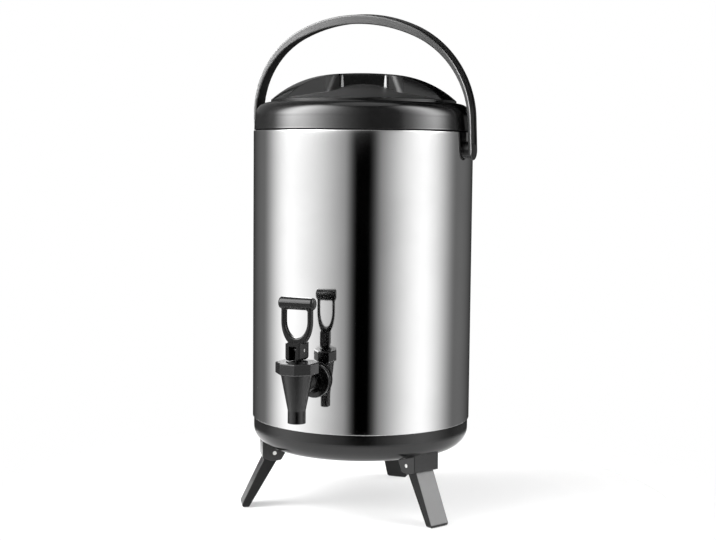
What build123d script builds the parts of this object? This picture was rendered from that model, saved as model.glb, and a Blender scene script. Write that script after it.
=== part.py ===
from build123d import *
import os
from math import asin, atan, cos, degrees, hypot, radians, sin, sqrt, tan

# An insulated beverage dispenser: a steel barrel on three folding legs, with a bail handle, a screw lid
# and a lever tap. Millimetres, +Z up, floor at Z = 0, barrel axis on Z, tap towards -Y.

# Clearances
SLIP = 0.2
RUNNING = 0.05
SLIDING = 0.1
SEAT_GAP = 0.3

# Barrel
shell_diameter = 240.0
shell_height = 313.0
shell_wall = 0.6
base_underside = 69.0
base_height = 31.0
base_inset = 1.4
base_rounding = 21.0
base_wall = 3.0
spigot_height = 8.0
plate_thickness = 0.8
wall_foam = 18.8
liner_wall = 0.6
liner_corner = 10.0
liner_rim = 4.0
floor_foam = 20.0

# Shoulder ring
shoulder_height = 30.5
shoulder_inset = 0.5
shoulder_rounding = 15.0
shoulder_wall = 3.0
skirt_depth = 40.0
neck_inset = 5.0
neck_wall = 3.0
neck_depth = 34.0
seat_depth = 3.0
seat_wall = 3.0
recess_gap = 1.5

# Lid
lid_overlap = 6.3
lid_rim_height = 3.0
lid_height = 33.0
lid_turn = 23.0
crown_radius = 400.0
crown_reach = 38.0
dome_foot = 1.7
rim_ledge = 1.6
lid_wall = 2.6
pocket_rise = 16.8
pocket_width = 47.2
pocket_flare = 22.0
pocket_wall_offset = 19.0
pocket_corner = 3.0
wing_top = 33.0
wing_foot = 62.0
mouth_rounding = 6.0
grip_edge = 2.2
gasket_thickness = 2.5
gasket_inset = 1.8
plug_gap = 1.5
plug_wall = 2.4
plug_depth = 38.0
plug_corner = 6.0
cover_skirt_depth = 10.0

# Bail handle
bail_pivot_drop = 19.0
bail_lean = 7.0
bail_gap = 4.4
bail_thickness = 3.6
bail_top_thickness = 9.8
bail_width = 22.0
bail_leg_rise = 32.6
bail_rise = 112.6
bail_shoulder_turn = 65.5
bail_edge = 1.6
bail_channel_width = 11.0
bail_channel_depth = 0.9
pivot_diameter = 6.0
pivot_head_diameter = 13.0
pivot_head = 1.6
pivot_boss_diameter = 16.0
pivot_boss_depth = 8.0
spacer_diameter = 18.0

# Tap
tap_standoff = 44.0
shank_height = 56.3
shank_diameter = 16.0
shank_bore = 7.6
shank_end = 18.0
collar_diameter = 25.0
collar_length = 7.0
flange_diameter = 36.0
flange_thickness = 4.0
flange_edge = 1.2
washer_thickness = 2.0
washer_inset = 1.0
hub_diameter = 20.0
nut_across_flats = 26.0
nut_thickness = 8.0
inner_washer_diameter = 28.0
spout_diameter = 18.2
spout_bore = 13.0
spout_drop = 37.0
spout_length = 12.8
funnel_diameter = 33.0
funnel_height = 37.5
funnel_neck = 7.0
funnel_lip = 1.5
chamber_diameter = 22.0
seat_drop = 13.3
seat_cone = 7.0
bonnet_diameter = 43.6
bonnet_sides = 8
bonnet_height = 11.6
bonnet_turn = 4.0
bonnet_edge = 0.9
bonnet_boss_diameter = 22.0
bonnet_boss = 1.2
neck_width = 16.3
neck_length = 21.7
neck_height = 18.0
neck_edge = 1.4
cam_rounding = 3.6
pin_rise = 10.5
handle_pin_diameter = 3.0
stem_diameter = 7.4
stem_eye_diameter = 8.4
stem_eye_width = 6.4
loop_height = 33.0
loop_width = 33.4
loop_thickness = 7.2
loop_arm = 4.5
loop_floor = 4.6
loop_drop = 17.0
loop_corner = 2.0
loop_edge = 1.9
bar_diameter = 12.6
bar_length = 38.8
bar_end = 3.2
bar_groove = 1.6
bar_groove_depth = 1.2
cup_wall_gap = 2.6
cup_nose_gap = 1.0
cup_height = 13.0
stem_socket = 7.0

# Legs
leg_places = ("front_right", "back", "front_left")
first_leg_angle = -27.8
hinge_inset = 21.0
hinge_drop = 7.7
knuckle_radius = 7.0
foot_spread = 30.9
foot_length = 8.6
foot_rounding = 3.2
foot_corner = 4.0
leg_width = 24.6
leg_edge = 1.0
leg_pin_diameter = 4.0
cheek_thickness = 4.5
stop_wall = 2.6
housing_depth = 13.0
cheek_depth = 16.5
cheek_back = 13.0
cheek_corner = 3.0
housing_edge = 1.2

# Heights and radii that follow from the sizes above
shell_radius = shell_diameter / 2
shell_inside = shell_radius - shell_wall
shell_bottom = base_underside + base_height
shell_top = shell_bottom + shell_height
spigot_radius = shell_inside - SLIP
base_radius = shell_radius - base_inset
base_inside = base_radius - base_wall
plate_bottom = shell_bottom + spigot_height
plate_top = plate_bottom + plate_thickness

liner_outside = shell_inside - wall_foam
liner_inside = liner_outside - liner_wall
liner_floor = plate_top + floor_foam

shoulder_radius = shell_radius - shoulder_inset
shoulder_top = shell_top + shoulder_height
skirt_inside = spigot_radius - shoulder_wall
skirt_bottom = shell_top - skirt_depth
seat_level = shoulder_top - seat_depth
neck_radius = liner_inside - neck_inset
neck_outside = neck_radius + neck_wall
neck_bottom = seat_level - neck_depth
lid_radius = neck_radius + lid_overlap
recess_radius = lid_radius + recess_gap
deck_level = seat_level - seat_wall
liner_top = deck_level
rim_radius = liner_outside + liner_rim
deck_edge = rim_radius + SLIP

rim_bottom = seat_level + gasket_thickness
rim_top = rim_bottom + lid_rim_height
crown_level = rim_bottom + lid_height
plug_radius = neck_radius - plug_gap
plug_inside = plug_radius - plug_wall
plug_bottom = rim_bottom - plug_depth
cover_skirt_outside = plug_inside - SLIP
cover_skirt_inside = cover_skirt_outside - lid_wall
crown_angle = asin(crown_reach / crown_radius)
flank_run = lid_radius - rim_ledge - crown_reach
flank_drop = crown_level - crown_radius * (1 - cos(crown_angle)) - rim_top - dome_foot
flank_chord = atan(flank_drop / flank_run)
flank_turn = 2 * (flank_chord - crown_angle)
flank_radius = hypot(flank_run, flank_drop) / (2 * sin(flank_turn / 2))
cone_slope = pocket_rise / (lid_radius - pocket_wall_offset)
pocket_reach = 2 * lid_radius
mouth_width = pocket_width + 2 * (pocket_reach - pocket_wall_offset) * tan(radians(pocket_flare))
wing_lean = atan(lid_height / (wing_foot - wing_top))

pivot_level = shell_top - bail_pivot_drop
bail_inside = shell_radius + bail_gap
bail_outside = bail_inside + bail_thickness
bail_half = bail_width / 2
leg_top = pivot_level + bail_leg_rise
pivot_inner_end = skirt_inside - pivot_boss_depth
pivot_head_seat = bail_outside - pivot_head

tap_reach = shell_radius + tap_standoff
shank_level = shell_bottom + shank_height
spout_bottom = shank_level - spout_drop
funnel_bottom = spout_bottom + spout_length
funnel_top = funnel_bottom + funnel_height
bonnet_top = funnel_top + bonnet_height
boss_top = bonnet_top + bonnet_boss
foot_level = boss_top + SEAT_GAP
pin_level = foot_level + pin_rise
neck_top = foot_level + neck_height
bar_level = neck_top + loop_height + bar_diameter / 2
chamber_top = funnel_top + funnel_neck
funnel_neck_radius = funnel_diameter / 2 - funnel_lip
valve_seat = shank_level - seat_drop
seat_slope = seat_cone / (chamber_diameter / 2 - spout_bore / 2)
cup_radius = chamber_diameter / 2 - cup_wall_gap
cup_nose = spout_bore / 2 - cup_nose_gap
cup_bottom = valve_seat - cup_nose_gap * seat_slope + SEAT_GAP * hypot(1, seat_slope)
cup_top = cup_bottom + cup_height
slot_radius = stem_eye_diameter / 2 + SEAT_GAP
slot_half = stem_diameter / 2 + SEAT_GAP
loop_top = neck_top + loop_height
loop_centre = neck_top + loop_floor + loop_drop
washer_face = shell_radius + washer_thickness
flange_face = washer_face + flange_thickness
collar_face = flange_face + collar_length
shank_tip = liner_inside - shank_end
nut_face = liner_inside - washer_thickness
flange_root = sqrt(shell_radius**2 - (flange_diameter / 2) ** 2)

leg_angles = {place: first_leg_angle + turn * 360 / len(leg_places) for turn, place in enumerate(leg_places)}
hinge_radius = base_radius - hinge_inset
hinge_level = base_underside - hinge_drop
housing_bottom = base_underside - housing_depth
cheek_bottom = base_underside - cheek_depth
cheek_inner = hinge_radius - cheek_back
foot_reach = hinge_radius + foot_spread
foot_inner = foot_reach - foot_length / 2 + foot_rounding
foot_outer = foot_reach + foot_length / 2 - foot_rounding
leg_run = foot_outer - hinge_radius
leg_drop = hinge_level - foot_rounding
outer_lean = atan(leg_run / leg_drop) - asin((knuckle_radius - foot_rounding) / hypot(leg_run, leg_drop))
stop_inside = (
    hinge_radius
    + knuckle_radius / cos(outer_lean)
    + (hinge_level - housing_bottom) * tan(outer_lean)
    + SEAT_GAP
)
stop_outside = stop_inside + stop_wall
cheek_half = leg_width / 2 + SLIP + cheek_thickness

pivot_axis = Axis((0, 0, pivot_level), (1, 0, 0))
tap_axis = Axis((0, -tap_reach, 0), (0, 0, 1))
tap_plane = Plane(origin=(0, -tap_reach, 0), x_dir=(1, 0, 0), z_dir=(0, -1, 0))
front_plane = Plane(origin=(0, 0, shank_level), x_dir=(1, 0, 0), z_dir=(0, -1, 0))
pivot_plane = Plane(origin=(0, 0, pivot_level), x_dir=(0, 1, 0), z_dir=(1, 0, 0))
stem_plane = Plane(origin=(0, -tap_reach, pin_level), x_dir=(0, 1, 0), z_dir=(1, 0, 0))
bar_plane = Plane(origin=(0, -tap_reach, bar_level), x_dir=(0, 1, 0), z_dir=(1, 0, 0))


def radial_plane(angle):
    """The upright plane through the barrel axis at this angle: x is the radius, y is the height."""
    turn = radians(angle)
    return Plane(origin=(0, 0, 0), x_dir=(cos(turn), sin(turn), 0), z_dir=(sin(turn), -cos(turn), 0))


def hinge_plane(angle):
    """The plane at a leg's hinge whose normal is the hinge axis."""
    turn = radians(angle)
    centre = (hinge_radius * cos(turn), hinge_radius * sin(turn), hinge_level)
    return Plane(origin=centre, x_dir=(0, 0, 1), z_dir=(sin(turn), -cos(turn), 0))


def band(inner, outer, low, high, mode=Mode.ADD):
    """A rectangle in a sketch of radius against height."""
    with Locations(((inner + outer) / 2, (low + high) / 2)):
        Rectangle(outer - inner, high - low, mode=mode)


def u_face(half_width, centre, drop, top):
    """A U shape: half an ellipse below the centre level and straight sides above it."""
    with Locations((0, centre)):
        Ellipse(half_width, drop)
    band(-half_width, half_width, centre, centre + 2 * drop, Mode.SUBTRACT)
    band(-half_width, half_width, centre, top)


def outline(*points):
    """A closed outline with straight sides."""
    with BuildLine() as edge:
        Polyline(*points, close=True)
    make_face(edge.edges())


def drill(plane, diameter, near, far):
    """A round hole along the plane's normal, from one distance along it to another."""
    with BuildSketch(plane.offset(near)) as section:
        Circle(diameter / 2)
    extrude(section.sketch, amount=far - near, mode=Mode.SUBTRACT)


def rod(plane, diameter, near, far):
    """A round bar along the plane's normal, from one distance along it to another."""
    with BuildSketch(plane.offset(near)) as section:
        Circle(diameter / 2)
    extrude(section.sketch, amount=far - near)


def arch_face(half_span, rise, mode=Mode.ADD):
    """The area under the bail: two upright legs, two corner arcs and a flatter arc on top, all tangent."""
    turn = radians(bail_shoulder_turn)
    spread = (1 - cos(turn)) * (1 - sin(turn)) - cos(turn) * sin(turn)
    corner_radius = (half_span * (1 - sin(turn)) - rise * cos(turn)) / spread
    top_radius = (rise * (1 - cos(turn)) - half_span * sin(turn)) / spread
    with BuildLine() as edge:
        right_leg = Line((half_span, pivot_level), (half_span, leg_top))
        right_corner = JernArc(right_leg @ 1, right_leg % 1, corner_radius, bail_shoulder_turn)
        top = JernArc(right_corner @ 1, right_corner % 1, top_radius, 180 - 2 * bail_shoulder_turn)
        left_corner = JernArc(top @ 1, top % 1, corner_radius, bail_shoulder_turn)
        Polyline(left_corner @ 1, (-half_span, pivot_level), right_leg @ 0)
    make_face(edge.edges(), mode=mode)


def is_mouth_edge(edge):
    """The slanted edges where the sides of a lid pocket meet the wings beside it."""
    middle = edge.center()
    level_or_upright = round(abs(edge.tangent_at(0.5).Z), 3) in (0, 1)
    return not level_or_upright and hypot(middle.X, middle.Y) < lid_radius


def lid_pocket(turn, inset):
    """The space of one finger pocket: a flared bay, and all that lies in front of the sloping wings."""
    wing_shift = inset / sin(wing_lean)
    with BuildPart() as space:
        with BuildSketch(Plane.XY.rotated((0, 0, turn)).offset(rim_bottom)) as bay:
            outline(
                (pocket_width / 2 + inset, inset - pocket_wall_offset),
                (mouth_width / 2 + inset, inset - pocket_reach),
                (-mouth_width / 2 - inset, inset - pocket_reach),
                (-pocket_width / 2 - inset, inset - pocket_wall_offset),
            )
            fillet(bay.vertices().group_by(Axis.Y)[-1], pocket_corner + inset)
        extrude(amount=lid_height)
        with BuildSketch(radial_plane(turn - 90)):
            outline(
                (wing_foot - wing_shift, rim_bottom),
                (pocket_reach, rim_bottom),
                (pocket_reach, crown_level),
                (wing_top - wing_shift, crown_level),
            )
        extrude(amount=pocket_reach, both=True)
        fillet(space.edges().filter_by(is_mouth_edge), mouth_rounding - inset)
    return space.part


def lid_dome(inset):
    """The lid's dome without its two pockets, every face moved inwards by the inset."""
    pockets = [lid_pocket(turn, inset) for turn in (lid_turn, lid_turn + 180)]
    with BuildPart() as dome:
        with BuildSketch(Plane.XZ):
            with BuildLine():
                crown = JernArc((0, crown_level - inset), (1, 0), crown_radius - inset, -degrees(crown_angle))
                flank = JernArc(crown @ 1, crown % 1, flank_radius - inset, -degrees(flank_turn))
                foot = ((flank @ 1).Y - rim_bottom) / -(flank % 1).Y
                Polyline(flank @ 1, flank @ 1 + flank % 1 * foot, (0, rim_bottom), crown @ 0)
            make_face()
        revolve(axis=Axis.Z)
        for pocket in pockets:
            add(pocket, mode=Mode.SUBTRACT)
    return dome.part


def lid_cone(inset, radius):
    """The shallow cone that the pockets end on, out to this radius and lowered by the inset."""
    edge_level = rim_top + (lid_radius - radius) * cone_slope - inset
    peak_level = rim_top + pocket_rise - inset
    with BuildPart() as cone:
        with BuildSketch(Plane.XZ):
            outline(
                (0, rim_bottom),
                (radius, rim_bottom),
                (radius, edge_level),
                (pocket_wall_offset, peak_level),
                (0, peak_level),
            )
        revolve(axis=Axis.Z)
    return cone.part


def is_grip_edge(edge):
    """The edges along the top of the pocket walls."""
    return edge.center().Z > rim_top + lid_rim_height and edge.geom_type != GeomType.LINE


def is_housing_corner(edge):
    """The two outer upright corners of each leg housing."""
    middle = edge.center()
    upright = abs(edge.tangent_at(0.5).Z) > 0.999
    return upright and abs(hypot(middle.X, middle.Y) - hypot(stop_outside, cheek_half)) < SLIP


def is_flange_edge(edge):
    """The outer edge on the front of the tap's flange."""
    return edge.geom_type == GeomType.CIRCLE and abs(edge.radius - flange_diameter / 2) < SLIP and (
        edge.center().Y < -(washer_face + flange_face) / 2
    )


def is_loop_edge(edge):
    """The front and back edges of the tap handle's loop, below its bar."""
    across = abs(edge.tangent_at(0.5).Y) > 0.999
    return not across and edge.center().Z < bar_level - bar_diameter / 4


def save(builder, name):
    """Name the finished sub-part and write its file."""
    builder.part.label = name
    export_step(builder.part, f"parts/{name}.step")


os.makedirs("parts", exist_ok=True)

# Barrel wall
with BuildPart() as outer_shell:
    with BuildSketch(Plane.XZ):
        band(shell_inside, shell_radius, shell_bottom, shell_top)
    revolve(axis=Axis.Z)
    drill(front_plane, shank_diameter + 2 * SLIP, shell_inside - 5 * shell_wall, shell_radius + shell_wall)
    for side in (pivot_plane, -pivot_plane):
        drill(side, pivot_diameter + 2 * SLIP, shell_inside - shell_wall, shell_radius + shell_wall)
save(outer_shell, "outer_shell")

with BuildPart() as bottom_plate:
    with BuildSketch(Plane.XY.offset(plate_bottom)):
        Circle(shell_inside)
    extrude(amount=plate_thickness)
save(bottom_plate, "bottom_plate")

# Pot
with BuildPart() as pot_form:
    with BuildSketch(Plane.XY.offset(liner_floor - liner_wall)):
        Circle(liner_outside)
    extrude(amount=liner_top - liner_floor + liner_wall)
    fillet(pot_form.edges().group_by(Axis.Z)[0], liner_corner + liner_wall)

with BuildPart() as inner_liner:
    add(pot_form.part)
    offset(amount=-liner_wall, openings=inner_liner.faces().sort_by(Axis.Z)[-1])
    with BuildSketch(Plane.XZ):
        band(liner_inside, rim_radius, liner_top - liner_wall, liner_top)
    revolve(axis=Axis.Z)
    drill(front_plane, shank_diameter + 2 * SLIP, shank_tip, liner_outside + liner_wall)
save(inner_liner, "inner_liner")

# Shoulder ring: outer wall, seat for the lid, neck, and a skirt inside the barrel wall with pivot bosses
with BuildPart() as shoulder_ring:
    with BuildSketch(Plane.XZ) as ring_profile:
        with BuildLine():
            wall = Line((shoulder_radius, shell_top), (shoulder_radius, shoulder_top - shoulder_rounding))
            corner = JernArc(wall @ 1, (0, 1), shoulder_rounding, 90)
            Polyline(
                corner @ 1,
                (recess_radius, shoulder_top),
                (recess_radius, seat_level),
                (neck_radius, seat_level),
                (neck_radius, neck_bottom),
                (neck_outside, neck_bottom),
                (neck_outside, deck_level),
                (deck_edge, deck_level),
                (shoulder_radius - shoulder_wall, shoulder_top - shoulder_rounding),
                (shoulder_radius - shoulder_wall, shell_top),
                (skirt_inside, shell_top),
                (skirt_inside, skirt_bottom),
                (spigot_radius, skirt_bottom),
                (spigot_radius, shell_top),
                wall @ 0,
            )
        make_face()
    revolve(axis=Axis.Z)
    for side in (pivot_plane, -pivot_plane):
        rod(side, pivot_boss_diameter, pivot_inner_end, skirt_inside + shoulder_wall / 2)
        drill(side, pivot_diameter, pivot_inner_end, spigot_radius + SLIP)
save(shoulder_ring, "shoulder_ring")

# Foam between wall and pot
with BuildPart() as insulation_foam:
    with BuildSketch(Plane.XZ):
        outline(
            (0, plate_top),
            (shell_inside, plate_top),
            (shell_inside, skirt_bottom),
            (skirt_inside, skirt_bottom),
            (skirt_inside, shell_top),
            (shoulder_radius - shoulder_wall, shell_top),
            (shoulder_radius - shoulder_wall, shoulder_top - shoulder_rounding),
            (deck_edge, deck_level),
            (deck_edge, liner_top - liner_wall),
            (0, liner_top - liner_wall),
        )
    revolve(axis=Axis.Z)
    add(pot_form.part, mode=Mode.SUBTRACT)
    drill(front_plane, shank_diameter + 2 * SLIP, shank_tip, shell_radius)
    for side in (pivot_plane, -pivot_plane):
        drill(side, pivot_boss_diameter, pivot_inner_end, shell_radius)
save(insulation_foam, "insulation_foam")

# Base cup: a hollow moulding with a spigot inside the barrel wall and three leg housings underneath
with BuildPart() as base_cup:
    with BuildSketch(Plane.XZ):
        with BuildLine():
            floor = Line((0, base_underside), (base_radius - base_rounding, base_underside))
            corner = JernArc(floor @ 1, (1, 0), base_rounding, 90)
            Polyline(
                corner @ 1,
                (base_radius, shell_bottom),
                (spigot_radius, shell_bottom),
                (spigot_radius, plate_bottom),
                (0, plate_bottom),
                floor @ 0,
            )
        make_face()
    revolve(axis=Axis.Z)
    for angle in leg_angles.values():
        with BuildSketch(radial_plane(angle)) as cheek:
            outline(
                (cheek_inner, base_underside + base_rounding),
                (stop_outside, base_underside + base_rounding),
                (stop_outside, housing_bottom),
                (hinge_radius + cheek_corner, cheek_bottom),
                (hinge_radius - knuckle_radius, cheek_bottom + leg_edge),
                (cheek_inner, hinge_level + cheek_corner),
            )
            fillet(cheek.vertices().group_by(Axis.Y)[:2], cheek_corner)
        extrude(amount=cheek_half, both=True)
    fillet(base_cup.edges().filter_by(is_housing_corner), housing_edge)
    for angle in leg_angles.values():
        with BuildSketch(radial_plane(angle)):
            band(cheek_inner - cheek_corner, stop_inside, 0, base_underside)
            band(stop_inside, stop_outside + stop_wall, 0, housing_bottom)
        extrude(amount=leg_width / 2 + SLIP, both=True, mode=Mode.SUBTRACT)
        drill(hinge_plane(angle), leg_pin_diameter, -cheek_half, cheek_half)
    with BuildSketch(Plane.XZ):
        with BuildLine():
            floor = Line(
                (0, base_underside + base_wall), (base_radius - base_rounding, base_underside + base_wall)
            )
            corner = JernArc(floor @ 1, (1, 0), base_rounding - base_wall, 90)
            Polyline(corner @ 1, (base_inside, plate_bottom), (0, plate_bottom), floor @ 0)
        make_face()
    revolve(axis=Axis.Z, mode=Mode.SUBTRACT)
save(base_cup, "base_cup")

# Folding legs and their pins
for place, angle in leg_angles.items():
    with BuildPart() as leg:
        with BuildSketch(radial_plane(angle)):
            with Locations((hinge_radius, hinge_level)):
                Circle(knuckle_radius)
            with Locations((foot_inner, foot_rounding), (foot_outer, foot_rounding)):
                Circle(foot_rounding)
            make_hull()
        extrude(amount=leg_width / 2, both=True)
        sides = leg.faces().sort_by(Axis((0, 0, 0), radial_plane(angle).z_dir))
        fillet(sides[0].edges() + sides[-1].edges(), leg_edge)
        with BuildSketch(radial_plane(angle + 90)) as front:
            band(-leg_width / 2, leg_width / 2, 0, base_underside)
            fillet(front.vertices().group_by(Axis.Y)[0], foot_corner)
        extrude(amount=2 * foot_reach, mode=Mode.INTERSECT)
        drill(hinge_plane(angle), leg_pin_diameter + 2 * RUNNING, -leg_width, leg_width)
    save(leg, f"leg_{place}")

    with BuildPart() as leg_pin:
        rod(hinge_plane(angle), leg_pin_diameter, -cheek_half, cheek_half)
    save(leg_pin, f"leg_pin_{place}")

# Bail handle, made upright and then leaned towards the tap, with its pivots and spacers
with BuildPart() as upright_bail:
    with BuildSketch(Plane.XZ):
        arch_face(bail_outside, bail_rise)
        arch_face(bail_inside, bail_rise - bail_top_thickness, Mode.SUBTRACT)
    extrude(amount=bail_half, both=True)
    for side in (pivot_plane, -pivot_plane):
        rod(side, bail_width, bail_inside, bail_outside)
    smooth = upright_bail.edges().filter_by(Axis.Y) + upright_bail.edges().filter_by(Axis.X)
    fillet(upright_bail.edges() - smooth, bail_edge)
    with BuildSketch(Plane.XZ):
        arch_face(bail_outside, bail_rise)
        arch_face(bail_outside - bail_channel_depth, bail_rise - bail_channel_depth, Mode.SUBTRACT)
    extrude(amount=bail_channel_width / 2, both=True, mode=Mode.SUBTRACT)
    for side in (pivot_plane, -pivot_plane):
        drill(side, pivot_diameter + 2 * RUNNING, shell_radius, bail_outside)
        drill(side, pivot_head_diameter + 2 * SEAT_GAP, pivot_head_seat - SLIDING, bail_outside + bail_gap)

with BuildPart() as bail_handle:
    add(upright_bail.part.rotate(pivot_axis, bail_lean))
save(bail_handle, "bail_handle")

with BuildPart() as bail_pivots:
    for side in (pivot_plane, -pivot_plane):
        rod(side, pivot_diameter, pivot_inner_end, pivot_head_seat)
        rod(side, pivot_head_diameter, pivot_head_seat, bail_outside)
save(bail_pivots, "bail_pivots")

with BuildPart() as bail_spacers:
    for side in (pivot_plane, -pivot_plane):
        rod(side, spacer_diameter, shell_radius - bail_gap, bail_inside - SEAT_GAP)
        drill(side, pivot_diameter, shell_inside - bail_gap, bail_inside)
    with BuildSketch(Plane.XY.offset(pivot_level - spacer_diameter)):
        Circle(shell_radius)
    extrude(amount=2 * spacer_diameter, mode=Mode.SUBTRACT)
save(bail_spacers, "bail_spacers")

# Lid: a hollow domed cover with two finger pockets, a plug, its foam and the gasket
with BuildPart() as lid_hollow:
    add(lid_dome(lid_wall))
    with BuildSketch(Plane.XY.offset(rim_top + lid_wall)):
        Circle(lid_radius)
    extrude(amount=lid_height, mode=Mode.INTERSECT)
    add(lid_cone(lid_wall, cover_skirt_inside))

with BuildPart() as lid_cover:
    add(lid_dome(0))
    fillet(lid_cover.edges().filter_by(is_grip_edge), grip_edge)
    with BuildSketch(Plane.XY.offset(rim_bottom)):
        Circle(lid_radius)
    extrude(amount=lid_height, mode=Mode.INTERSECT)
    add(lid_cone(0, lid_radius))
    with BuildSketch(Plane.XZ):
        band(cover_skirt_inside, cover_skirt_outside, rim_bottom - cover_skirt_depth, rim_bottom)
    revolve(axis=Axis.Z)
    add(lid_hollow.part, mode=Mode.SUBTRACT)
save(lid_cover, "lid_cover")

with BuildPart() as lid_plug:
    with BuildSketch(Plane.XY.offset(plug_bottom)):
        Circle(plug_radius)
    extrude(amount=plug_depth)
    fillet(lid_plug.edges().group_by(Axis.Z)[0], plug_corner)
    offset(amount=-plug_wall, openings=lid_plug.faces().sort_by(Axis.Z)[-1])
save(lid_plug, "lid_plug")

with BuildPart() as lid_foam:
    with BuildSketch(Plane.XY.offset(plug_bottom + plug_wall)):
        Circle(cover_skirt_inside - SLIP)
    extrude(amount=plug_depth - plug_wall)
    fillet(lid_foam.edges().group_by(Axis.Z)[0], plug_corner)
save(lid_foam, "lid_foam")

with BuildPart() as lid_gasket:
    with BuildSketch(Plane.XZ):
        band(plug_radius + SEAT_GAP, lid_radius - gasket_inset, seat_level, rim_bottom)
    revolve(axis=Axis.Z)
save(lid_gasket, "lid_gasket")

# Tap
with BuildPart() as tap_body:
    with BuildSketch(tap_plane):
        outline(
            (0, spout_bottom),
            (spout_diameter / 2, spout_bottom),
            (spout_diameter / 2, funnel_bottom),
            (funnel_diameter / 2, funnel_top),
            (funnel_neck_radius, funnel_top),
            (funnel_neck_radius, chamber_top),
            (0, chamber_top),
        )
    revolve(axis=tap_axis)
    rod(front_plane, shank_diameter, shank_tip, washer_face)
    rod(front_plane, flange_diameter, washer_face, flange_face)
    fillet(tap_body.edges().filter_by(is_flange_edge), flange_edge)
    rod(front_plane, collar_diameter, flange_face, collar_face)
    rod(front_plane, hub_diameter, collar_face, tap_reach)
    with BuildSketch(tap_plane):
        outline(
            (0, spout_bottom),
            (spout_bore / 2, spout_bottom),
            (spout_bore / 2, valve_seat),
            (chamber_diameter / 2, valve_seat + seat_cone),
            (chamber_diameter / 2, chamber_top),
            (0, chamber_top),
        )
    revolve(axis=tap_axis, mode=Mode.SUBTRACT)
    drill(front_plane, shank_bore, shank_tip, tap_reach)
save(tap_body, "tap_body")

with BuildPart() as tap_wall_washer:
    rod(front_plane, flange_diameter - 2 * washer_inset, flange_root, washer_face)
    drill(front_plane, shank_diameter, flange_root, washer_face)
    with BuildSketch(Plane.XY.offset(shank_level - flange_diameter)):
        Circle(shell_radius)
    extrude(amount=2 * flange_diameter, mode=Mode.SUBTRACT)
save(tap_wall_washer, "tap_wall_washer")

with BuildPart() as tap_inner_washer:
    rod(front_plane, inner_washer_diameter, nut_face, liner_inside)
    drill(front_plane, shank_diameter, nut_face, liner_inside)
    with BuildSketch(Plane.XY.offset(shank_level - inner_washer_diameter)):
        Circle(liner_inside)
    extrude(amount=2 * inner_washer_diameter, mode=Mode.INTERSECT)
save(tap_inner_washer, "tap_inner_washer")

with BuildPart() as tap_nut:
    with BuildSketch(front_plane.offset(nut_face - nut_thickness)):
        RegularPolygon(nut_across_flats / 2, 6, major_radius=False)
        Circle(shank_diameter / 2, mode=Mode.SUBTRACT)
    extrude(amount=nut_thickness)
save(tap_nut, "tap_nut")

with BuildPart() as tap_bonnet:
    with BuildSketch(Plane.XY.offset(funnel_top)):
        with Locations((0, -tap_reach)):
            RegularPolygon(bonnet_diameter / 2, bonnet_sides, rotation=180 / bonnet_sides - bonnet_turn)
    extrude(amount=bonnet_height)
    chamfer(tap_bonnet.edges().group_by(Axis.Z)[0] + tap_bonnet.edges().group_by(Axis.Z)[-1], bonnet_edge)
    for level, diameter, height, mode in (
        (bonnet_top, bonnet_boss_diameter, bonnet_boss, Mode.ADD),
        (funnel_top, 2 * (funnel_neck_radius + SLIP), funnel_neck + SLIP, Mode.SUBTRACT),
        (funnel_top, stem_diameter + 2 * SLIDING, bonnet_height + bonnet_boss, Mode.SUBTRACT),
    ):
        with BuildSketch(Plane.XY.offset(level)):
            with Locations((0, -tap_reach)):
                Circle(diameter / 2)
        extrude(amount=height, mode=mode)
save(tap_bonnet, "tap_bonnet")

with BuildPart() as tap_seat_cup:
    with BuildSketch(tap_plane):
        outline(
            (0, cup_bottom),
            (cup_nose, cup_bottom),
            (cup_radius, cup_bottom + (cup_radius - cup_nose) * seat_slope),
            (cup_radius, cup_top),
            (0, cup_top),
        )
    revolve(axis=tap_axis)
    with BuildSketch(Plane.XY.offset(cup_top - stem_socket)):
        with Locations((0, -tap_reach)):
            Circle(stem_diameter / 2)
    extrude(amount=stem_socket, mode=Mode.SUBTRACT)
save(tap_seat_cup, "tap_seat_cup")

with BuildPart() as tap_stem:
    with BuildSketch(Plane.XY.offset(cup_top - stem_socket)):
        with Locations((0, -tap_reach)):
            Circle(stem_diameter / 2)
    extrude(amount=pin_level - cup_top + stem_socket)
    rod(stem_plane, stem_eye_diameter, -stem_eye_width / 2, stem_eye_width / 2)
    drill(stem_plane, handle_pin_diameter + 2 * RUNNING, -stem_diameter, stem_diameter)
save(tap_stem, "tap_stem")

with BuildPart() as grip_bar:
    rod(bar_plane, bar_diameter, -bar_length / 2, bar_length / 2)
    fillet(grip_bar.edges().filter_by(GeomType.CIRCLE), bar_end)

with BuildPart() as handle_loop:
    with BuildSketch(tap_plane):
        u_face(loop_width / 2, loop_centre, loop_drop + loop_floor + loop_arm, bar_level)
    extrude(amount=loop_thickness / 2, both=True)
    with BuildSketch(tap_plane) as opening:
        u_face(loop_width / 2 - loop_arm, loop_centre, loop_drop, loop_top)
        fillet(opening.vertices().group_by(Axis.Y)[-1], loop_corner)
    extrude(amount=loop_thickness, both=True, mode=Mode.SUBTRACT)
    fillet(handle_loop.edges().filter_by(is_loop_edge), loop_edge)

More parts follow.
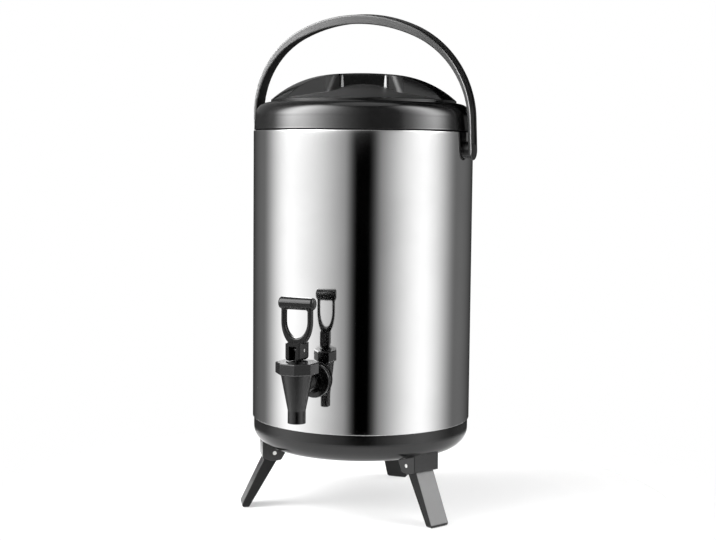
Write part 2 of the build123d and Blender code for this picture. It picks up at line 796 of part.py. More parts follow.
with BuildPart() as tap_handle:
    with BuildSketch(Plane.XY.offset(foot_level)):
        with Locations((0, -tap_reach)):
            Rectangle(neck_width, neck_length)
    extrude(amount=neck_height)
    fillet(tap_handle.edges().filter_by(Axis.Z), neck_edge)
    fillet(tap_handle.edges().group_by(Axis.Z)[0].filter_by(Axis.X), cam_rounding)
    add(handle_loop.part)
    add(grip_bar.part)
    with BuildSketch(bar_plane.offset(-bar_length)):
        with Locations((-bar_diameter / 2, 0)):
            Rectangle(2 * bar_groove_depth, bar_groove)
    extrude(amount=2 * bar_length, mode=Mode.SUBTRACT)
    with BuildSketch(stem_plane):
        band(-neck_length, 0, -2 * pin_rise, slot_radius)
        band(0, slot_radius, -2 * pin_rise, 0)
        Circle(slot_radius)
    extrude(amount=slot_half, both=True, mode=Mode.SUBTRACT)
    drill(stem_plane, handle_pin_diameter, -neck_width, neck_width)
save(tap_handle, "tap_handle")

with BuildPart() as tap_handle_pin:
    rod(stem_plane, handle_pin_diameter, -neck_width / 2, neck_width / 2)
save(tap_handle_pin, "tap_handle_pin")
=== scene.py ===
from math import cos, pi, radians, sin

import bpy
import numpy as np
from mathutils import Matrix, Vector


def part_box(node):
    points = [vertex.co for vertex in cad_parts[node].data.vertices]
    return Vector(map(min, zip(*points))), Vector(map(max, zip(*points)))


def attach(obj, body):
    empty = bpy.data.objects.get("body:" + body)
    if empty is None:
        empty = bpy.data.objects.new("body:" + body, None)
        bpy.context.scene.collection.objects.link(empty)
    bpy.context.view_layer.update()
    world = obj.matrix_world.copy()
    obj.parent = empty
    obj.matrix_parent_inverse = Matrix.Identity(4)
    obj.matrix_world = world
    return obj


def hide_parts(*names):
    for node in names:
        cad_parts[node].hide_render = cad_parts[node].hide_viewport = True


# The looks of an insulated beverage dispenser: a polished steel barrel with black mouldings, a screw lid,
# a bail handle, a lever tap and three folding legs. Metres, +Z up, tap towards -Y.

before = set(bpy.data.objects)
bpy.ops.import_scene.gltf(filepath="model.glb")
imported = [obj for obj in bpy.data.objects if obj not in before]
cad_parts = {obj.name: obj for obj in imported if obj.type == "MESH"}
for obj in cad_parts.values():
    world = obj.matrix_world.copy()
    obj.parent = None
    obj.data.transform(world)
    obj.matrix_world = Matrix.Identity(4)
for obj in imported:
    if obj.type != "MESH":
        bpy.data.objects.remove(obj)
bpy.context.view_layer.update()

# Camera, fitted to the photograph
IMAGE_WIDTH = 716
SENSOR_WIDTH = 36.0
FOCAL_PIXELS = 1345.8
CAMERA_TURN = radians(23.2)
CAMERA_PITCH = radians(4.99)
CAMERA_ROLL = radians(0.55)
CAMERA_DISTANCE = 1.4828
CAMERA_HEIGHT = 0.3902
CAMERA_SIDE = -0.00452
CLIP_START = 0.01

# Studio: the light that the world adds, the wall of the light tent, and the floor
WORLD_FILL = 0.35
TENT_RADIUS = 2.0
TENT_CLOTH = 0.01
TENT_LOW, TENT_HIGH = -1.0, 6.0
TENT_SEGMENTS = 180
FLOOR_RADIUS = 0.44
FLOOR_FADE = 0.2
FLOOR_GLOW = 0.5
FLOOR_DROP = 0.0002

# Light on the tent's wall. Angles go round the barrel in degrees, with 0 at the camera and the right of the
# image positive. A pair says where a light starts and where it is full, four numbers do so for both sides.
# Panels light the barrel's height, with a dark cloth round the lens.
LEFT_PANEL = (-123, -75, -82, 14)
LEFT_PANEL_LIGHT = 1.52
RIGHT_PANEL = (-2, 69, 60, 112)
RIGHT_PANEL_LIGHT = 1.57
REAR_PANELS = (60, 108, 118, 165)
REAR_PANELS_LIGHT = 0.15
BARE_WALL_LIGHT = 0.04
LENS_CLOTH = (5, 19)
# Banks and thin veils of light stand above the panels. They start and fade at the heights given last.
LEFT_BANK_RISE = (3, -77)
LEFT_BANK_END = (-108, -76)
LEFT_BANK_LIGHT = 14.5
RIGHT_BANK_EDGE = (38, 42)
RIGHT_BANK_RISE = (41, 79)
RIGHT_BANK_END = (104, 75)
RIGHT_BANK_LIGHT = 8.3
LEFT_VEIL = (-128, -98, -25, 10)
LEFT_VEIL_LIGHT = 0.7
WIDE_VEIL = (116, 104)
WIDE_VEIL_LIGHT = 0.24
BANK_START = (0.54, 0.7)
BANK_FADE = (TENT_HIGH, 1.6)

# Barrel: its steel wall, with the zone at each edge that polishing leaves dull
WALL_LOW, WALL_HIGH = (corner.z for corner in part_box("outer_shell"))
WALL_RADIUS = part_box("outer_shell")[1].x
WALL_SHEET = 0.0006
TOP_ROLL = 0.0007
BOTTOM_ROLL = 0.0005
DULL_EDGE = (0.004, 0.0008)
BARREL_SEGMENTS = 720

# Mouldings' worn and painted-lit edges: how deep the search for an outer edge goes, and the share of body
# found there
EDGE_REACH = 0.0018
EDGE_SHARE = (0.78, 0.4)

# Bail handle: its pivots' height, its width and its lean towards the tap at rest
BAIL_PIVOT = sum(corner.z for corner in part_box("bail_pivots")) / 2
BAIL_WIDTH = 0.022
BAIL_LEAN = radians(7.0)
# Right corner arc of the bail's outer face: centre across the barrel and above the pivot, and radius
BAIL_CORNER_SIDE = 0.01967
BAIL_CORNER_RISE = 0.0326
BAIL_CORNER_RADIUS = 0.10833
# Bail's narrow faces, paler as wear and as a painted highlight: where they begin from the middle of its
# width, the side that is painted lit most, and how pale they are at least and more on that side
NARROW_FACE = (BAIL_WIDTH / 2 - 0.0014, BAIL_WIDTH / 2 - 0.0006)
NARROW_FACE_LIT_SIDE = (0.05, -0.13)
NARROW_FACE_LEAST = 0.1
NARROW_FACE_LIT_MORE = 0.27
# Painted highlight line on the bail: across its width, below its outer face, over to the other side, and
# how pale
BAIL_LINE = (0.0097, 0.0101, 0.0107, 0.01095)
BAIL_LINE_DEPTH = (-0.0014, -0.0009)
BAIL_LINE_SIDE = (0.085, 0.13)
BAIL_LINE_HIGHLIGHT = 0.9

# Legs: where they stand round the axis, the lean of their outer faces, and those faces' distance from the
# origin along the direction they look in
LEG_TURNS = (radians(-27.8), radians(92.2), radians(212.2))
LEG_LEAN = radians(25.56)
LEG_FACE = 0.1215
# Legs' outer faces, scuffs and a painted highlight: how deep, on which side most, how pale at least and
# more on that side
LEG_PALE_FACE_DEPTH = (-0.00045, -0.00012)
LEG_LIT_SIDE = (-0.07, 0.07)
LEG_PALE_LEAST = 0.2
LEG_LIT_MORE = 0.8

# Lid: its turn at rest, its levels, and the finger pockets with the floor that slopes up from its rim
LID_TURN = radians(23.0)
LID_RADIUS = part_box("lid_cover")[1].x
LID_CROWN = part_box("lid_cover")[1].z
LID_RIM = 0.003
LID_HEIGHT = 0.033
POCKET_HALF = 0.0236
POCKET_WALL = 0.019
POCKET_FLARE = radians(22.0)
POCKET_RISE = 0.0168
POCKET_SLOPE = POCKET_RISE / (LID_RADIUS - POCKET_WALL)
# Wear and painted light on the lid: the zone of the pockets' mouths along and across the grip bar, and the
# pockets' floor by height above its slope, by distance from the axis, by the side painted lit, and how pale
# that painted highlight is
MOUTH_ALONG = (0.025, 0.0275, 0.039, 0.043)
MOUTH_ACROSS = (0.025, 0.028, 0.053, 0.057)
POCKET_FLOOR_ABOVE = (0.0012, 0.0006)
POCKET_FLOOR_EDGE = (LID_RADIUS - 0.003, LID_RADIUS - 0.006)
POCKET_FLOOR_LIT_SIDE = (0.07, -0.07)
POCKET_FLOOR_HIGHLIGHT = 0.75
# Webs in the corners of the pockets: their turn, their depth at the foot and at the top, and the top's drop
WEB_TURN = radians(35.0)
WEB_DEPTHS = (0.0012, 0.00074)
WEB_TOP_DROP = 0.0032

# Shoulder ring: a wall with a moulding draft, a recess for the lid, a neck, and a skirt inside the barrel
SHOULDER_ROUNDING = 0.015
SHOULDER_DRAFT = 0.0011
SHOULDER_WALL = 0.003
DRAFT_SHARES = np.array([0.15, 0.2, 0.9, 0.95])
LOWER_EDGE = 0.0007
GROOVE = 0.0009
RECESS_GAP = 0.0015
RECESS_ROUNDING = 0.0006
SEAT_DEPTH = 0.003
GASKET_OVERLAP = 0.0045
NECK_DEPTH = 0.034
SKIRT_GAP = 0.0008


class Wire:
    """One output of a node. Arithmetic on wires and numbers adds Math nodes to their tree."""

    def __init__(self, tree, socket=None):
        self.tree = tree
        self.socket = socket

    def node(self, kind, settings=None, inputs=None, output=0):
        """Adds a node of this kind, sets its settings, then the values or wires of its sockets."""
        made = self.tree.nodes.new("ShaderNode" + kind)
        for name, value in (settings or {}).items():
            setattr(made, name, value)
        for name, value in (inputs or {}).items():
            if isinstance(value, Wire):
                self.tree.links.new(value.socket, made.inputs[name])
            else:
                made.inputs[name].default_value = value
        return Wire(self.tree, made.outputs[output] if len(made.outputs) else None)

    def maths(self, operation, *values, clamp=False):
        """A Math node on wires or numbers."""
        return self.node("Math", {"operation": operation, "use_clamp": clamp}, dict(enumerate(values)))

    def __add__(self, other):
        return self.maths("ADD", self, other)

    def __sub__(self, other):
        return self.maths("SUBTRACT", self, other)

    def __rsub__(self, other):
        return self.maths("SUBTRACT", other, self)

    def __mul__(self, other):
        return self.maths("MULTIPLY", self, other)

    __radd__ = __add__

    def size(self):
        return self.maths("ABSOLUTE", self)

    def root(self):
        return self.maths("SQRT", self)

    def larger(self, other):
        return self.maths("MAXIMUM", self, other)

    def step(self, low, high):
        """A smooth step: 0 at low and 1 at high, which may lie on either side of it."""
        span = {"Value": self, "From Min": min(low, high), "From Max": max(low, high)}
        span.update({"To Min": 0.0 if low < high else 1.0, "To Max": 1.0 if low < high else 0.0})
        return self.node("MapRange", {"interpolation_type": "SMOOTHSTEP"}, span)

    def band(self, low, low_full, high_full, high):
        """A smooth step up from low to low_full, times a smooth step down from high_full to high."""
        return self.step(low, low_full) * self.step(high, high_full)

    def tint(self, first, second):
        """A colour between two, chosen by this wire from 0 to 1."""
        return self.node("Mix", {"data_type": "RGBA"}, {0: self, 6: first, 7: second}, output=2)

    def parts(self):
        """The x, y and z of a vector."""
        split = self.node("SeparateXYZ", None, {0: self})
        return [Wire(self.tree, socket) for socket in split.socket.node.outputs]

    def noise(self, scale, detail, stretch=(1.0, 1.0, 1.0)):
        """Noise on a position, with a scale in waves per metre that may differ along x, y and z."""
        place = self.node("VectorMath", {"operation": "MULTIPLY"}, {0: self, 1: stretch})
        return self.node("TexNoise", None, {"Vector": place, "Scale": scale, "Detail": detail})


def colour(red, green, blue):
    """An opaque linear colour."""
    return (red, green, blue, 1.0)


def grey(value):
    """A neutral linear colour."""
    return colour(value, value, value)


def new_material(name):
    """An empty material and the object position that its pattern is worked out from."""
    material = bpy.data.materials.new(name)
    material.use_nodes = True
    material.node_tree.nodes.clear()
    place = Wire(material.node_tree).node("TexCoord", output="Object")
    return material, place


def finish_surface(place, base, roughness, relief, metallic=0.0, specular=0.5):
    """A Principled surface from a base colour, a roughness and a relief in metres."""
    inputs = {
        "Base Color": base,
        "Roughness": roughness,
        "Metallic": metallic,
        "Specular IOR Level": specular,
        "Normal": place.node("Bump", None, {"Height": relief, "Distance": 1.0, "Strength": 1.0}),
    }
    shader = place.node("BsdfPrincipled", None, inputs)
    place.node("OutputMaterial", None, {"Surface": shader})


def axis_distance(place):
    """Distance of a position from the barrel's axis."""
    x, y, _ = place.parts()
    return (x * x + y * y).root()


def axis_angle(place):
    """Angle of a position round the barrel's axis, in radians."""
    x, y, _ = place.parts()
    return place.maths("ARCTAN2", y, x)


def mirror_steel():
    """Mirror-polished stainless sheet: faint wheel marks around it, hazy wiped patches, dull edges."""
    material, place = new_material("mirror_steel")
    height = place.parts()[2]
    around = place.node("CombineXYZ", None, {0: axis_angle(place) * WALL_RADIUS, 1: height, 2: 0.0})
    marks = around.noise(scale=1.0, detail=3.0, stretch=(14.0, 2600.0, 1.0))
    haze = place.noise(scale=16.0, detail=3.0)
    waves = place.noise(scale=5.0, detail=1.0, stretch=(1.0, 1.0, 0.35))
    edge = (height - WALL_LOW).step(*DULL_EDGE) + (WALL_HIGH - height).step(*DULL_EDGE)
    base = haze.step(0.35, 0.75).tint(grey(0.655), grey(0.617))
    roughness = 0.05 + haze.step(0.45, 0.8) * 0.035 + marks * 0.03 + edge * 0.05
    finish_surface(place, base, roughness, waves * 1e-4 + marks * 6e-7, metallic=1.0)
    return material


def brushed_steel():
    """Stainless sheet left with the fine rings of its spinning."""
    material, place = new_material("brushed_steel")
    height = place.parts()[2]
    around = place.node("CombineXYZ", None, {0: axis_angle(place), 1: height, 2: axis_distance(place)})
    rings = around.noise(scale=1.0, detail=2.0, stretch=(2.0, 3000.0, 3000.0))
    stain = place.noise(scale=22.0, detail=3.0)
    base = stain.tint(colour(0.56, 0.555, 0.545), colour(0.62, 0.615, 0.605))
    roughness = 0.2 + rings * 0.18 + stain * 0.06
    finish_surface(place, base, roughness, rings * 4e-6, metallic=1.0)
    return material


def pin_steel():
    """Bright drawn wire with turned ends."""
    material, place = new_material("pin_wire")
    marks = place.noise(scale=900.0, detail=2.0)
    base = marks.tint(colour(0.72, 0.715, 0.7), colour(0.8, 0.795, 0.78))
    finish_surface(place, base, 0.16 + marks * 0.14, marks * 4e-6, metallic=1.0)
    return material


def worn_and_lit_edge(place):
    """1 along outer edges and 0 on flat ground, from how little of the body lies below: worn and
    painted-lit edges.
    """
    settings = {"inside": True, "only_local": True, "samples": 16}
    # Edges found here are painted paler: partly wear, partly a painted edge highlight
    body = place.node("AmbientOcclusion", settings, {"Distance": EDGE_REACH}, output="AO")
    return body.step(*EDGE_SHARE)


def bail_wear_and_highlights(place):
    """Paleness of the leaning bail: its narrow faces are paler as wear and as a painted highlight, most of
    all on one side, and the other side has a painted highlight line along the edges of its outer face."""
    x, y, z = place.parts()
    across = (y * cos(BAIL_LEAN) + (z - BAIL_PIVOT) * sin(BAIL_LEAN)).size()
    along = (z - BAIL_PIVOT) * cos(BAIL_LEAN) - y * sin(BAIL_LEAN)
    past_leg = (along - BAIL_CORNER_RISE).larger(0.0)
    aside = x - BAIL_CORNER_SIDE
    depth = (aside * aside + past_leg * past_leg).root() - BAIL_CORNER_RADIUS
    # Painted highlight line along the outer face's edges, on one side only
    line = across.band(*BAIL_LINE) * depth.step(*BAIL_LINE_DEPTH) * x.step(*BAIL_LINE_SIDE)
    wear_and_light = NARROW_FACE_LEAST + x.step(*NARROW_FACE_LIT_SIDE) * NARROW_FACE_LIT_MORE
    return (line * BAIL_LINE_HIGHLIGHT).larger(across.step(*NARROW_FACE) * wear_and_light)


def leg_scuffs_and_highlight(place):
    """Scuffs and a painted highlight on the legs: 1 on the face that looks away from the barrel's axis,
    less on the left legs, and 0 on the other faces."""
    x, y, z = place.parts()
    first, second, third = (x * cos(turn) + y * sin(turn) for turn in LEG_TURNS)
    reach = first.larger(second).larger(third)
    depth = reach * cos(LEG_LEAN) + z * sin(LEG_LEAN) - LEG_FACE
    return depth.step(*LEG_PALE_FACE_DEPTH) * (LEG_PALE_LEAST + x.step(*LEG_LIT_SIDE) * LEG_LIT_MORE)


def pocket_mouths(place):
    """1 round the mouths of the lid's two finger pockets, and 0 elsewhere."""
    x, y, _ = place.parts()
    along = (x * cos(LID_TURN) + y * sin(LID_TURN)).size()
    across = (y * cos(LID_TURN) - x * sin(LID_TURN)).size()
    return along.band(*MOUTH_ALONG) * across.band(*MOUTH_ACROSS)


def pocket_floor(place):
    """1 on the sloping floor of the lid's finger pockets, and 0 above it and at the rim."""
    radius = axis_distance(place)
    floor_level = LID_CROWN - LID_HEIGHT + LID_RIM + (LID_RADIUS - radius) * POCKET_SLOPE
    above = place.parts()[2] - floor_level
    return above.step(*POCKET_FLOOR_ABOVE) * radius.step(*POCKET_FLOOR_EDGE)


def lid_wear_and_highlights(place):
    """Where the lid is paler: along its edges, worn and painted lit, and a painted highlight on one side of
    its pockets' floor.
    """
    side = place.parts()[0].step(*POCKET_FLOOR_LIT_SIDE)
    return worn_and_lit_edge(place).larger(pocket_floor(place) * side * POCKET_FLOOR_HIGHLIGHT)


def lid_dulling(place):
    """Where the lid is dulled by fingers: round the mouths of its pockets and on their floor."""
    return pocket_mouths(place).larger(pocket_floor(place))


def moulded(name, dark, light, gloss, worn_and_lit_grey=0.0, wear_and_light=None, dulled=None, specular=0.5):
    """Moulded plastic: a fine spark-eroded grain, cloudy gloss where it was handled, and fine scratches.
    Where its mask of wear and painted light is high it goes towards the given pale grey, and where dulled
    it is rougher."""
    material, place = new_material(name)
    fine = place.noise(scale=1600.0, detail=2.0)
    cloud = place.noise(scale=24.0, detail=3.0)
    streaks = place.noise(scale=140.0, detail=4.0, stretch=(1.0, 1.0, 0.35))
    scratches = streaks.step(0.64, 0.74) * cloud.step(0.45, 0.65)
    tone = cloud * 0.7 + fine * 0.3 + scratches * 0.25
    base = tone.step(0.25, 0.95).tint(grey(dark), grey(light))
    roughness = gloss + cloud.step(0.3, 0.7) * 0.06 + scratches * 0.1
    # Paler towards the given grey where worn, and where highlights are painted on edges and faces
    if wear_and_light is not None:
        wear_and_light_mask = wear_and_light(place) * (0.6 + cloud * 0.8)
        base = wear_and_light_mask.tint(base, grey(worn_and_lit_grey))
        roughness = roughness + wear_and_light_mask * 0.06
    if dulled is not None:
        roughness = roughness + dulled(place) * 0.32
    finish_surface(place, base, roughness, fine * 1.5e-6, specular=specular)
    return material


def soft_rubber(name, dark, light, roughness):
    """Moulded rubber: dull, with a dusty bloom."""
    material, place = new_material(name)
    bloom = place.noise(scale=90.0, detail=4.0)
    fine = place.noise(scale=2400.0, detail=2.0)
    finish_surface(place, bloom.tint(dark, light), roughness + bloom * 0.12, fine * 1e-5)
    return material


def poured_foam():
    """Rigid poured foam, cream with small cells."""
    material, place = new_material("poured_foam")
    cells = place.node("TexVoronoi", None, {"Vector": place, "Scale": 700.0})
    cloud = place.noise(scale=40.0, detail=3.0)
    base = cloud.tint(colour(0.78, 0.68, 0.45), colour(0.86, 0.79, 0.6))
    finish_surface(place, base, 0.8 + cloud * 0.1, cells * 4e-4)
    return material


# Materials by CAD slot. The tap handle has a duller one than its slot, and the lid's webs a glossier one.
# The pale greys of the shoulder, base, lid, bail and legs paint highlights as well as showing wear.
FINISHES = {
    "polished_steel": mirror_steel(),
    "brushed_steel": brushed_steel(),
    "pin_steel": pin_steel(),
    "black_plastic": moulded(
        "shoulder_and_base_plastic", dark=0.002, light=0.006, gloss=0.13, worn_and_lit_grey=0.03, wear_and_light=worn_and_lit_edge
    ),
    "lid_plastic": moulded(
        "lid_plastic", dark=0.002, light=0.006, gloss=0.14, worn_and_lit_grey=0.03, wear_and_light=lid_wear_and_highlights, dulled=lid_dulling
    ),
    "handle_plastic": moulded(
        "bail_plastic", dark=0.003, light=0.008, gloss=0.3, worn_and_lit_grey=0.36, wear_and_light=bail_wear_and_highlights
    ),
    "leg_plastic": moulded(
        "leg_plastic", dark=0.003, light=0.007, gloss=0.3, worn_and_lit_grey=0.16, wear_and_light=leg_scuffs_and_highlight, specular=0.25
    ),
    "tap_plastic": moulded("tap_plastic", dark=0.002, light=0.005, gloss=0.14),
    "black_rubber": soft_rubber("washer_rubber", grey(0.012), grey(0.03), roughness=0.55),
    "seal_silicone": soft_rubber(
        "seal_silicone", colour(0.6, 0.6, 0.58), colour(0.72, 0.72, 0.7), roughness=0.4
    ),
    "insulation": poured_foam(),
}
HANDLE_FINISH = moulded("tap_handle_plastic", dark=0.002, light=0.005, gloss=0.2, specular=0.28)
WEB_FINISH = moulded("lid_web_plastic", dark=0.002, light=0.006, gloss=0.1, specular=0.9)
for node_name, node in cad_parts.items():
    for index, old in enumerate(node.data.materials):
        node.data.materials[index] = HANDLE_FINISH if node_name == "tap_handle" else FINISHES[old.name]


def mesh_piece(name, points, faces, material, smooth=True):
    """An object from an array of points and a list of faces."""
    mesh = bpy.data.meshes.new(name)
    mesh.from_pydata(points.reshape(-1, 3).tolist(), [], faces)
    mesh.materials.append(material)
    if smooth:
        mesh.shade_smooth()
    piece = bpy.data.objects.new(name, mesh)
    bpy.context.scene.collection.objects.link(piece)
    return piece


def lathe(name, profile, segments, material):
    """A closed profile of (radius, height) turned about Z: point (r cos a, r sin a, z) for each angle a.
    Each face joins two neighbouring points of the profile at two neighbouring angles."""
    angle = np.linspace(0, 2 * pi, segments, endpoint=False)
    radius, height = np.asarray(profile).T
    x = np.outer(np.cos(angle), radius)
    y = np.outer(np.sin(angle), radius)
    z = np.broadcast_to(height, x.shape)
    number = np.arange(x.size).reshape(x.shape)
    beside = np.roll(number, -1, axis=1)
    corners = (number, beside, np.roll(beside, -1, axis=0), np.roll(number, -1, axis=0))
    faces = np.stack(corners, axis=-1).reshape(-1, 4).tolist()
    return mesh_piece(name, np.stack([x, y, z], axis=-1), faces, material)


def arc(centre, radius, start, end, steps):
    """Points on an arc of a profile: the centre plus the radius times (cos a, sin a), with the angle a
    going from start to end in degrees."""
    angle = np.radians(np.linspace(start, end, steps))
    return np.stack([centre[0] + radius * np.cos(angle), centre[1] + radius * np.sin(angle)], axis=-1)


# Barrel wall: the steel sheet with its top edge rolled inwards and its bottom edge eased
wall_inside = WALL_RADIUS - WALL_SHEET
wall_profile = np.concatenate([
    arc((WALL_RADIUS - BOTTOM_ROLL, WALL_LOW + BOTTOM_ROLL), BOTTOM_ROLL, start=-60, end=0, steps=8),
    arc((WALL_RADIUS - TOP_ROLL, WALL_HIGH - TOP_ROLL), TOP_ROLL, start=0, end=78, steps=12),
    [(wall_inside - TOP_ROLL, WALL_HIGH - TOP_ROLL), (wall_inside - TOP_ROLL, WALL_LOW + BOTTOM_ROLL)],
])
barrel_wall = lathe("barrel_wall", wall_profile, BARREL_SEGMENTS, FINISHES["polished_steel"])
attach(barrel_wall, "barrel")
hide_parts("outer_shell")

# Shoulder ring: up its drafted wall, over its rounding into the lid's recess, down the neck, and back
# under the roof to the skirt inside the barrel
shoulder_low, shoulder_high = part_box("shoulder_ring")
shoulder_radius = shoulder_high.x
wall_foot = WALL_HIGH + GROOVE
wall_top = shoulder_high.z - SHOULDER_ROUNDING
corner_centre = (shoulder_radius - SHOULDER_DRAFT - SHOULDER_ROUNDING, wall_top)
drafted_radius = shoulder_radius - SHOULDER_DRAFT * DRAFT_SHARES
drafted_level = WALL_HIGH + (wall_top - WALL_HIGH) * DRAFT_SHARES
recess_radius = LID_RADIUS + RECESS_GAP
recess_centre = (recess_radius + RECESS_ROUNDING, shoulder_high.z - RECESS_ROUNDING)
seat = shoulder_high.z - SEAT_DEPTH
neck_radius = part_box("lid_gasket")[1].x - GASKET_OVERLAP
neck_outside = neck_radius + SHOULDER_WALL
neck_foot = seat - NECK_DEPTH
roof_radius = shoulder_radius - SHOULDER_WALL
skirt_outside = wall_inside - 2 * SKIRT_GAP
skirt_inside = skirt_outside - SHOULDER_WALL
shoulder_profile = np.concatenate([
    arc((shoulder_radius - LOWER_EDGE, wall_foot + LOWER_EDGE), LOWER_EDGE, start=-80, end=0, steps=6),
    np.stack([drafted_radius, drafted_level], axis=-1),
    arc(corner_centre, SHOULDER_ROUNDING, start=4, end=90, steps=28),
    arc(recess_centre, RECESS_ROUNDING, start=90, end=180, steps=5),
    [(recess_radius, seat), (neck_radius, seat), (neck_radius, neck_foot)],
    [(neck_outside, neck_foot), (neck_outside, seat - SHOULDER_WALL)],
    [(roof_radius - SHOULDER_DRAFT, wall_top), (roof_radius, wall_foot)],
    [(skirt_inside, WALL_HIGH), (skirt_inside, shoulder_low.z)],
    [(skirt_outside, shoulder_low.z), (skirt_outside, wall_foot)],
])
shoulder = lathe("shoulder", shoulder_profile, BARREL_SEGMENTS, FINISHES["black_plastic"])
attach(shoulder, "barrel")
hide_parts("shoulder_ring")


def corner_webs(name):
    """Four three-sided prisms: a flat from the back wall to the side wall, at a depth from the corner that
    falls with height, and the corner itself. A pocket's second corner is the first one mirrored in x, and
    the second pocket is half a turn on."""
    corner_radius = np.hypot(POCKET_HALF, POCKET_WALL)
    foot = LID_CROWN - LID_HEIGHT + LID_RIM + POCKET_SLOPE * (LID_RADIUS - corner_radius) - WEB_DEPTHS[0]
    depth = np.array(WEB_DEPTHS)[:, None]
    zero = np.zeros_like(depth)
    along_back = depth / sin(WEB_TURN)
    along_side = depth / cos(WEB_TURN + POCKET_FLARE)
    x = POCKET_HALF + np.hstack([-along_back, along_side * sin(POCKET_FLARE), zero])
    y = -POCKET_WALL + np.hstack([zero, -along_side * cos(POCKET_FLARE), zero])
    z = np.array([[foot], [LID_CROWN - WEB_TOP_DROP]])
    side = np.array([1, -1, 1, -1])[:, None, None]
    turn = LID_TURN + np.array([0, 0, pi, pi])[:, None, None]
    turned_x = side * x * np.cos(turn) - y * np.sin(turn)
    turned_y = side * x * np.sin(turn) + y * np.cos(turn)
    points = np.stack([turned_x, turned_y, np.broadcast_to(z, turned_x.shape)], axis=-1)
    first_point = x.size * np.arange(len(side))[:, None, None]
    prism_sides = np.array([[0, 1, 4, 3], [1, 2, 5, 4], [2, 0, 3, 5]])
    prism_ends = np.array([[2, 1, 0], [3, 4, 5]])
    faces = []
    for mirrored in (prism_sides, prism_ends):
        outward = np.where(side > 0, mirrored[:, ::-1], mirrored)
        faces += (outward + first_point).reshape(-1, mirrored.shape[1]).tolist()
    return mesh_piece(name, points, faces, WEB_FINISH, smooth=False)


webs = corner_webs("lid_corner_webs")
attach(webs, "lid")

# Camera
right = Vector((cos(CAMERA_TURN), sin(CAMERA_TURN), 0.0))
away = Vector((-sin(CAMERA_TURN), cos(CAMERA_TURN), 0.0))
rise = Vector((0.0, 0.0, 1.0))
forward = cos(CAMERA_PITCH) * away - sin(CAMERA_PITCH) * rise
upward = sin(CAMERA_PITCH) * away + cos(CAMERA_PITCH) * rise
image_right = cos(CAMERA_ROLL) * right + sin(CAMERA_ROLL) * upward
image_up = cos(CAMERA_ROLL) * upward - sin(CAMERA_ROLL) * right
camera_place = CAMERA_SIDE * right - CAMERA_DISTANCE * away + CAMERA_HEIGHT * rise

camera_data = bpy.data.cameras.new("camera")
camera_data.sensor_fit = "HORIZONTAL"
camera_data.sensor_width = SENSOR_WIDTH
camera_data.lens = FOCAL_PIXELS / IMAGE_WIDTH * SENSOR_WIDTH
camera_data.clip_start = CLIP_START
camera = bpy.data.objects.new("camera", camera_data)
turned = Matrix((image_right, image_up, -forward)).transposed()
camera.matrix_world = Matrix.Translation(camera_place) @ turned.to_4x4()
bpy.context.scene.collection.objects.link(camera)
bpy.context.scene.camera = camera


def seen_directly(wire):
    """1 for rays from the camera, a mirror or glass, and 0 for the light that falls on surfaces."""
    outputs = wire.node("LightPath").socket.node.outputs
    kinds = ("Is Camera Ray", "Is Glossy Ray", "Is Transmission Ray")
    from_camera, from_mirror, from_glass = (Wire(wire.tree, outputs[kind]) for kind in kinds)
    return wire.maths("ADD", from_camera + from_mirror, from_glass, clamp=True)


def studio_world():
    """White where it is seen, and a soft even light on surfaces."""
    world = bpy.data.worlds.new("studio")
    world.use_nodes = True
    world.node_tree.nodes.clear()
    start = Wire(world.node_tree)
    fill = start.node("Background", None, {"Color": grey(1.0), "Strength": WORLD_FILL})
    white = start.node("Background", None, {"Color": grey(1.0), "Strength": 1.0})
    mixed = start.node("MixShader", None, {0: seen_directly(start), 1: fill, 2: white})
    start.node("OutputWorld", None, {"Surface": mixed})
    bpy.context.scene.world = world


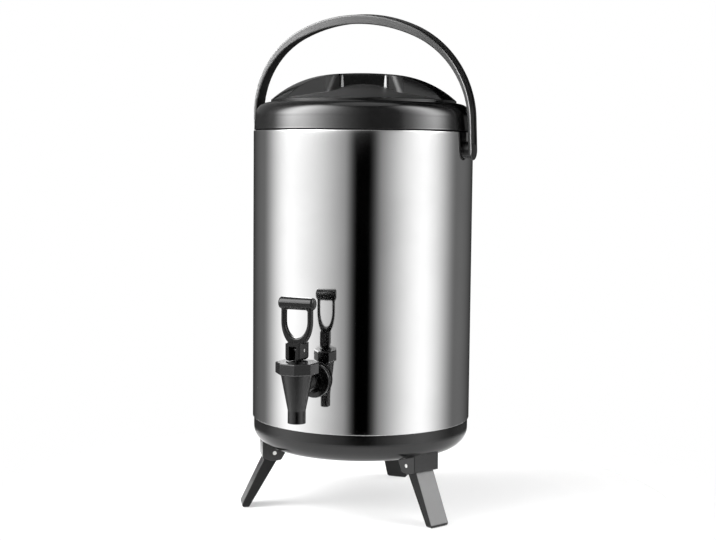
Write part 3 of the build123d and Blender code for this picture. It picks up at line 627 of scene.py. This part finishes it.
def tent_light():
    """The wall of the light tent: soft panels at the barrel's height, dark cloth round the lens, and strong
    banks above."""
    material, place = new_material("tent_light")
    x, y, height = place.parts()
    across = x * right.x + y * right.y
    toward = x * -away.x + y * -away.y
    turn = place.maths("ARCTAN2", across, toward) * (180 / pi)
    left_panel = turn.band(*LEFT_PANEL) * LEFT_PANEL_LIGHT
    right_panel = turn.band(*RIGHT_PANEL) * RIGHT_PANEL_LIGHT
    rear_panels = turn.size().band(*REAR_PANELS) * REAR_PANELS_LIGHT
    level = (left_panel + right_panel + rear_panels + BARE_WALL_LIGHT) * turn.size().step(*LENS_CLOTH)
    left_rise = turn.step(*LEFT_BANK_RISE)
    left_bank = left_rise * left_rise * turn.step(*LEFT_BANK_END) * LEFT_BANK_LIGHT
    right_rise = turn.step(*RIGHT_BANK_EDGE) + turn.step(*RIGHT_BANK_RISE) * RIGHT_BANK_LIGHT
    right_bank = right_rise * turn.step(*RIGHT_BANK_END)
    veil = turn.band(*LEFT_VEIL) * LEFT_VEIL_LIGHT + turn.step(*WIDE_VEIL) * WIDE_VEIL_LIGHT
    raised = (left_bank + right_bank + veil) * height.step(*BANK_FADE)
    above = height.step(*BANK_START)
    strength = level * (1 - above) + raised * above
    glow = place.node("Emission", None, {"Color": grey(1.0), "Strength": strength})
    place.node("OutputMaterial", None, {"Surface": glow})
    return material


def floor_finish():
    """A pale floor that fades out at its edge; it glows a little where it is seen, and keeps its shadow."""
    material, place = new_material("pale_floor")
    cloud = place.noise(scale=3.0, detail=2.0)
    matt = place.node("BsdfDiffuse", None, {"Color": cloud.tint(grey(0.45), grey(0.47))})
    glow_strength = seen_directly(place) * FLOOR_GLOW
    glow = place.node("Emission", None, {"Color": grey(1.0), "Strength": glow_strength})
    lit = place.node("AddShader", None, {0: matt, 1: glow})
    clear = place.node("BsdfTransparent")
    edge = axis_distance(place).step(FLOOR_RADIUS - FLOOR_FADE, FLOOR_RADIUS)
    faded = place.node("MixShader", None, {0: edge, 1: lit, 2: clear})
    place.node("OutputMaterial", None, {"Surface": faded})
    return material


studio_world()
tent_outside = TENT_RADIUS + TENT_CLOTH
tent_profile = [
    (TENT_RADIUS, TENT_LOW),
    (TENT_RADIUS, TENT_HIGH),
    (tent_outside, TENT_HIGH),
    (tent_outside, TENT_LOW),
]
tent = lathe("light_tent", tent_profile, TENT_SEGMENTS, tent_light())
tent.visible_camera = False
floor_square = np.array([(-1, -1, 0), (1, -1, 0), (1, 1, 0), (-1, 1, 0)])
floor_corners = floor_square * FLOOR_RADIUS - (0, 0, FLOOR_DROP)
floor = mesh_piece("floor", floor_corners, [[0, 1, 2, 3]], floor_finish())
bpy.context.scene.view_settings.view_transform = "Standard"
